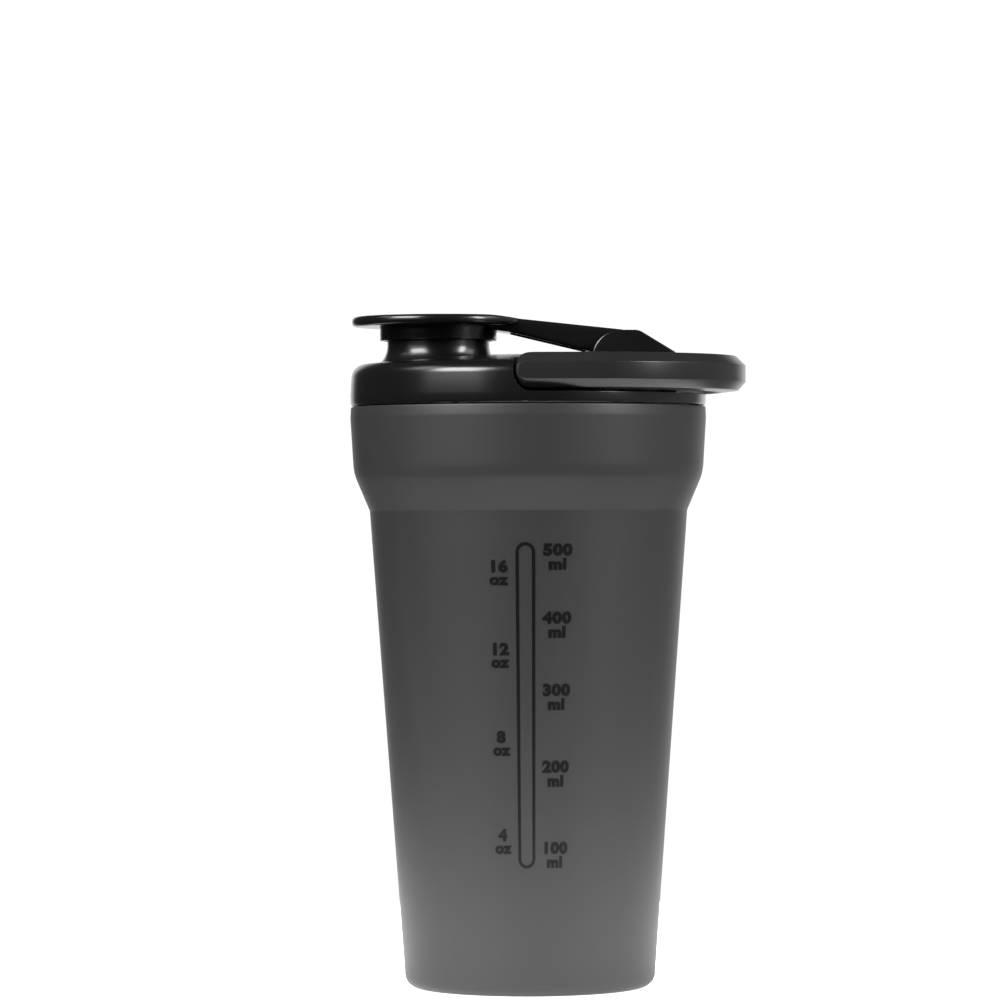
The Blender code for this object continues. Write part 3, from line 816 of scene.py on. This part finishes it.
steel = bpy.data.materials.new("steel")
steel.use_nodes = True
steel_nodes, steel_links = steel.node_tree.nodes, steel.node_tree.links
steel_shader = steel_nodes["Principled BSDF"]
steel_shader.inputs["Metallic"].default_value = 1.0
steel_place = steel_nodes.new("ShaderNodeTexCoord")
steel_stretch = steel_nodes.new("ShaderNodeMapping")
steel_stretch.inputs["Scale"].default_value = (900.0, 6000.0, 900.0)
steel_links.new(steel_place.outputs["Object"], steel_stretch.inputs["Vector"])
steel_lines = steel_nodes.new("ShaderNodeTexNoise")
steel_lines.inputs["Scale"].default_value = 1.0
steel_links.new(steel_stretch.outputs["Vector"], steel_lines.inputs["Vector"])
steel_tint = steel_nodes.new("ShaderNodeValToRGB")
steel_tint.color_ramp.elements[0].color = (0.42, 0.42, 0.43, 1)
steel_tint.color_ramp.elements[1].color = (0.66, 0.66, 0.67, 1)
steel_links.new(steel_lines.outputs["Fac"], steel_tint.inputs["Fac"])
steel_links.new(steel_tint.outputs["Color"], steel_shader.inputs["Base Color"])
steel_rough = steel_nodes.new("ShaderNodeMapRange")
steel_rough.inputs["To Min"].default_value = 0.18
steel_rough.inputs["To Max"].default_value = 0.36
steel_links.new(steel_lines.outputs["Fac"], steel_rough.inputs["Value"])
steel_links.new(steel_rough.outputs["Result"], steel_shader.inputs["Roughness"])


def dowel(name, node, body):
    """A round pin with chamfered ends, in the box of its CAD node."""
    low, high = (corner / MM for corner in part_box(node))
    radius, length, chamfer = (high.x - low.x) / 2, high.y - low.y, 0.3
    outline = [(0, 0), (radius - chamfer, 0), (radius, chamfer), (radius, length - chamfer)]
    outline += [(radius - chamfer, length), (0, length)]
    pin = turned(name, outline, steps=48)
    middle = (low + high) / 2
    place = Matrix.Translation(Vector((middle.x, high.y, middle.z)) * MM) @ Matrix.Rotation(math.radians(90), 4, "X")
    pin.data.transform(place)
    pin.data.materials.append(steel)
    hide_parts(node)
    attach(pin, body)


dowel("cap_pin", "cap_hinge_pin", "lid")
dowel("front_dowel", "loop_pin_front", "lid")
dowel("rear_dowel", "loop_pin_rear", "lid")

# --- Carry loop ------------------------------------------------------------------------------------
# A black moulded bow with a chamfered band for a section. Its arms end in rounds about the dowels, so
# they turn in the recess, and a finger goes under the bow.

LOOP_BOW_X = 11.6
loop_low, loop_high = (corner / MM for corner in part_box("carry_loop"))
LOOP_HALF_WIDTH = 4.5
LOOP_CHAMFER = 2.7
LOOP_UNDER_CHAMFER = (2.1, 3.0)
LOOP_UNDER_RISE = 0.6
LOOP_EDGE = 0.45
loop_half_height = (loop_high.z - loop_low.z) / 2
loop_radius = loop_high.y - LOOP_HALF_WIDTH


def loop_section():
    """The band's section as (outward, upward), with its eight edges rounded."""
    w, h, c, edge = LOOP_HALF_WIDTH, loop_half_height, LOOP_CHAMFER, LOOP_EDGE
    wide, tall = LOOP_UNDER_CHAMFER
    corners = [(w, tall - h), (w, h - c), (w - c, h), (c - w, h)]
    corners += [(-w, h - c), (-w, tall - h), (wide - w, -h), (w - wide, LOOP_UNDER_RISE - h)]
    return rounded([(*corner, edge) for corner in corners], closed=True, steps=3)


def loop_stations():
    """Where sections stand: (x, y, outward angle, share of the height, share of the width)."""
    arm = []
    for turn in (88, 84, 79, 73, 66, 58, 50, 42, 34, 26, 18, 9, 0):
        back = loop_half_height * math.sin(math.radians(turn)) ** 0.7
        high = math.cos(math.radians(turn)) ** 0.7
        slim = 1.0 - 0.1 * max(0.0, (turn - 50) / 38) ** 2
        arm.append((pivot_x - back, -loop_radius, -90, high, slim))
    arm.append((pivot_x + 5, -loop_radius, -90, 1.0, 1.0))
    bow_steps = 96
    bow = []
    for i in range(bow_steps + 1):
        angle = -90 + 180 * i / bow_steps
        x = LOOP_BOW_X + loop_radius * math.cos(math.radians(angle))
        bow.append((x, loop_radius * math.sin(math.radians(angle)), angle, 1.0, 1.0))
    return arm + bow + [(x, -y, -angle, high, slim) for x, y, angle, high, slim in reversed(arm)]


def make_loop():
    """The loop: its section at every station, joined by faces and closed at both ends."""
    bm = bmesh.new()
    rings = []
    section = loop_section()
    for x, y, angle, high, slim in loop_stations():
        across = Vector((math.cos(math.radians(angle)), math.sin(math.radians(angle)), 0)) * slim
        base = Vector((x, y, pivot_z))
        rings.append([bm.verts.new((base + across * out + Vector((0, 0, up * high))) * MM) for out, up in section])
    count = len(section)
    for near, far in zip(rings, rings[1:]):
        for k in range(count):
            bm.faces.new((near[k], near[(k + 1) % count], far[(k + 1) % count], far[k]))
    bm.faces.new(rings[0])
    bm.faces.new(rings[-1])
    return make_piece("loop", bm, 50)


loop_plastic = plastic("loop_plastic", 0.0145, 0.016, 0.28, 2200.0, 0.2, 0.06, 0.05, specular=0.32)

loop = make_loop()
loop.data.materials.append(loop_plastic)
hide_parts("carry_loop")
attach(loop, "loop")

# --- Flip cap --------------------------------------------------------------------------------------
# One black moulding: a thin round pad with a rolled rim, a deep arm that ends in the hinge knuckle, a
# skirt that closes round the spout, and a stud that holds the seal.

cap_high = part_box("flip_cap")[1] / MM
CAP_RADIUS = 24.7
CAP_BOTTOM = 188.5
CAP_RIM = 1.42
ARM_EDGE = 1.0
CAP_SKIRT_RADIUS = 16.7
CAP_SKIRT_BORE = 15.4
CAP_SKIRT_BOTTOM = 184.5
CAP_STUD = 3.0
ARM_HALF_WIDTH = 10.2
KNUCKLE_RADIUS = 3.6
ARM_WALL = 1.5
ARM_ROOF = 2.0


def arm_top(height):
    """The cap's top from the front: level over the pad, then falling straight to the knuckle."""
    return rounded([(-20, height), (-10.5, height, 60.0), (hinge_x, hinge_z + KNUCKLE_RADIUS)], steps=12)


def arm_outline():
    """The arm from the front: thin where it leaves the pad, and deeper towards its knuckle."""
    knuckle = arc((hinge_x, hinge_z), KNUCKLE_RADIUS, 85, -90, 24)
    root = CAP_BOTTOM + 0.03
    under = [knuckle[-1], (18.0, 181.1, 6.0), (14.9, 181.8, 6.0), (-6.0, 186.85, 3.0), (-9.6, 187.3, 2.5)]
    under += [(-13.0, root, 3.0), (-20, root)]
    return arm_top(cap_high.z - 0.03)[:-1] + knuckle + rounded(under, steps=6)[1:]


def arm_hollow():
    """The channel under the arm, which keeps its walls thin. It follows the arm's sloping top."""
    start, end, top = -5.0, hinge_x - 9.5, hinge_z + KNUCKLE_RADIUS
    fall = (cap_high.z - top) / (hinge_x + 10.5)
    roof = [(x, top + fall * (hinge_x - x) - ARM_ROOF) for x in (start, end)]
    return [(start, 176), *roof, (end, 176)]


def make_cap():
    """The cap: a turned pad cut to the arm's slope, the arm, and the skirt and stud under the pad."""
    rim = [(0, CAP_BOTTOM), (CAP_RADIUS, CAP_BOTTOM, CAP_RIM), (CAP_RADIUS, cap_high.z, CAP_RIM), (0, cap_high.z)]
    cap = turned("cap", rounded(rim, steps=8), steps=144, centre_x=SPOUT_X)
    above = arm_top(cap_high.z + 0.005) + [(hinge_x, 200), (-20, 200)]
    combine(cap, "DIFFERENCE", extruded("slope_cutter", above, -30, 30))
    arm = extruded("arm", arm_outline(), -ARM_HALF_WIDTH, ARM_HALF_WIDTH)
    combine(cap, "UNION", eased(arm, ARM_EDGE, angle=50, segments=5))
    wide, roof, top = CAP_SKIRT_BORE + 0.6, CAP_BOTTOM + 0.4, CAP_BOTTOM + 0.8
    bowl = turned("bowl_cutter", [(0, 180), (wide, 180), (wide, roof), (0, roof)], steps=144, centre_x=SPOUT_X)
    channel = extruded("arm_hollow", arm_hollow(), ARM_WALL - ARM_HALF_WIDTH, ARM_HALF_WIDTH - ARM_WALL)
    combine(cap, "DIFFERENCE", bowl, channel)
    inside = [
        (0, 186.6),
        (CAP_STUD, 186.6, 0.3),
        (CAP_STUD, CAP_BOTTOM + 0.2, 0.3),
        (CAP_SKIRT_BORE, CAP_BOTTOM + 0.2, 0.4),
        (CAP_SKIRT_BORE, CAP_SKIRT_BOTTOM, 0.3),
        (CAP_SKIRT_RADIUS, CAP_SKIRT_BOTTOM, 0.4),
        (CAP_SKIRT_RADIUS, top),
        (0, top),
    ]
    hole = arc((hinge_x, hinge_z), PIN_HOLE, 0, 350, 35)
    combine(cap, "UNION", turned("cap_skirt", rounded(inside), steps=144, centre_x=SPOUT_X))
    combine(cap, "DIFFERENCE", extruded("knuckle_hole", hole, -20, 20))
    return cap


cap = make_cap()
cap.data.shade_smooth()
cap.data.set_sharp_from_angle(angle=math.radians(32))
cap.data.materials.clear()
cap.data.materials.append(black_plastic)
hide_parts("flip_cap")
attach(cap, "cap")

# --- Spout seal ------------------------------------------------------------------------------------
# A grey silicone plug pushed on the cap's stud. Its flange closes on the spout's lip, and a ring under
# it goes into the bore.

seal_low, seal_high = (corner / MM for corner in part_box("spout_seal"))
SEAL_WEB = 186.2
SEAL_OUTLINE = [
    (CAP_STUD + 0.3, SEAL_WEB, 0.2),
    (9.8, SEAL_WEB, 0.3),
    (9.8, seal_low.z, 0.5),
    (11.6, seal_low.z, 0.7),
    (11.6, SPOUT_TOP + 0.3, 0.2),
    (14.8, SPOUT_TOP + 0.3, 0.3),
    (14.8, seal_high.z, 0.3),
    (CAP_STUD + 0.3, seal_high.z, 0.2),
]
seal = turned("seal_plug", rounded(SEAL_OUTLINE, closed=True), steps=144, centre_x=SPOUT_X)
seal.data.materials.append(silicone)
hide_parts("spout_seal")
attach(seal, "cap")

# --- Floor, light and camera -----------------------------------------------------------------------
# A white floor with a painted glow, weaker round the bottle as a painted shadow, a white backdrop, and on each
# side a large soft box, a dim low one and a dim one at the side. A long lens looks level from a little under the
# lid.

FLOOR_HALF_WIDTH = 0.2
FLOOR_HALF_DEPTH = 0.24
FLOOR_BACK = 0.08
BACKDROP = 1.35
LIGHTS_AIM = Vector((0, 0, 0.15))


def ranged(nodes, links, value, start, end, low, high):
    """A smooth step of a socket from low to high between start and end."""
    node = nodes.new("ShaderNodeMapRange")
    node.interpolation_type = "SMOOTHSTEP"
    node.inputs["From Min"].default_value = start
    node.inputs["From Max"].default_value = end
    node.inputs["To Min"].default_value = low
    node.inputs["To Max"].default_value = high
    links.new(value, node.inputs["Value"])
    return node.outputs["Result"]


def make_floor():
    """An oval floor, longer to the back, with a painted glow that grows away from the bottle and a painted shadow
    round its base.
    """
    bm = bmesh.new()
    bmesh.ops.create_circle(bm, cap_ends=True, radius=1.0, segments=128)
    for vert in bm.verts:
        vert.co.x *= FLOOR_HALF_WIDTH
        vert.co.y = vert.co.y * FLOOR_HALF_DEPTH + FLOOR_BACK
    floor = make_piece("floor", bm)
    white = bpy.data.materials.new("floor_painted_glow_shadow")
    white.use_nodes = True
    shader = white.node_tree.nodes["Principled BSDF"]
    shader.inputs["Base Color"].default_value = (0.8, 0.8, 0.8, 1)
    shader.inputs["Roughness"].default_value = 0.6
    shader.inputs["Emission Color"].default_value = (1, 1, 1, 1)
    nodes, links = white.node_tree.nodes, white.node_tree.links
    place, away = nodes.new("ShaderNodeTexCoord"), nodes.new("ShaderNodeVectorMath")
    away.operation = "LENGTH"
    links.new(place.outputs["Object"], away.inputs[0])
    # Painted glow and painted shadow: the floor's emission is 1 within 3 cm of the bottle's axis, a painted shadow
    # round the base, and it rises to 2.5 past 11 cm.
    links.new(ranged(nodes, links, away.outputs["Value"], 0.03, 0.11, 1.0, 2.5), shader.inputs["Emission Strength"])
    floor.data.materials.append(white)


def soft_box(name, azimuth, elevation, distance, size, radiance):
    """A soft box that faces the lid. Azimuth is from straight in front, positive to the right."""
    light = bpy.data.lights.new(name, "AREA")
    light.shape = "RECTANGLE"
    light.size, light.size_y = size
    light.energy = radiance * math.pi * size[0] * size[1]
    turn, rise = math.radians(azimuth), math.radians(elevation)
    away = Vector((math.sin(turn) * math.cos(rise), -math.cos(turn) * math.cos(rise), math.sin(rise)))
    holder = bpy.data.objects.new(name, light)
    holder.location = LIGHTS_AIM + away * distance
    holder.rotation_euler = (-away).to_track_quat("-Z", "Y").to_euler()
    holder.visible_camera = False
    bpy.context.scene.collection.objects.link(holder)


def make_world():
    """White to the camera. To all else it is a dark room with a white backdrop and a pale right wall."""
    world = bpy.data.worlds.new("studio")
    bpy.context.scene.world = world
    world.use_nodes = True
    nodes, links = world.node_tree.nodes, world.node_tree.links
    nodes.clear()
    out = nodes.new("ShaderNodeOutputWorld")
    seen, lit = nodes.new("ShaderNodeBackground"), nodes.new("ShaderNodeBackground")
    mix = nodes.new("ShaderNodeMixShader")
    path = nodes.new("ShaderNodeLightPath")
    place = nodes.new("ShaderNodeTexCoord")
    split = nodes.new("ShaderNodeSeparateXYZ")
    links.new(place.outputs["Generated"], split.inputs["Vector"])
    side, depth, height = (split.outputs[axis] for axis in "XYZ")

    def both(operation, first, second):
        return math_node(nodes, links, operation, first, second)

    behind = both("MAXIMUM", depth, 0.001)
    slant = both("SUBTRACT", both("DIVIDE", side, behind), 0.12)
    climb = both("DIVIDE", height, behind)
    across = ranged(nodes, links, both("ABSOLUTE", slant, 0.0), 0.40, 0.65, 1.0, 0.0)
    upper = ranged(nodes, links, climb, 0.2, 0.5, 1.0, 0.0)
    lower = ranged(nodes, links, climb, -0.4, -0.15, 0.25, 1.0)
    backdrop = both("MULTIPLY", both("MULTIPLY", across, upper), lower)
    ceiling = ranged(nodes, links, height, -0.1, 0.15, 0.03, 0.05)
    right_wall = ranged(nodes, links, side, 0.35, 0.9, 0.0, 0.34)
    room = both("ADD", ceiling, right_wall)
    links.new(both("ADD", both("MULTIPLY", backdrop, BACKDROP), room), lit.inputs["Strength"])
    for light in (lit, seen):
        light.inputs["Color"].default_value = (1, 1, 1, 1)
    seen.inputs["Strength"].default_value = 1.05
    links.new(path.outputs["Is Camera Ray"], mix.inputs["Fac"])
    links.new(lit.outputs["Background"], mix.inputs[1])
    links.new(seen.outputs["Background"], mix.inputs[2])
    links.new(mix.outputs["Shader"], out.inputs["Surface"])


def make_camera():
    """A long lens in front of the bottle, rolled by a fifth of a degree."""
    lens = bpy.data.cameras.new("camera")
    lens.lens = 180.0
    lens.sensor_width = 36.0
    lens.shift_y = 0.015
    lens.clip_end = 20.0
    camera = bpy.data.objects.new("camera", lens)
    camera.location = (-0.00815, -1.43, 0.1347)
    camera.rotation_euler = (math.radians(90), math.radians(0.2), 0)
    bpy.context.scene.collection.objects.link(camera)
    bpy.context.scene.camera = camera


make_floor()
make_world()
soft_box("left_box", -49, 34, 1.3, (0.72, 0.55), 21)
soft_box("left_low_box", -49, 14, 1.35, (1.0, 0.3), 2.0)
soft_box("left_side_box", -86, 42, 1.4, (0.35, 0.45), 4)
soft_box("right_box", 57, 25, 1.3, (0.26, 0.5), 29)
soft_box("right_low_box", 57, 7, 1.35, (0.26, 0.3), 1.4)
soft_box("right_side_box", 80, 34, 1.4, (0.4, 0.6), 4)
make_camera()
bpy.context.scene.view_settings.view_transform = "Standard"
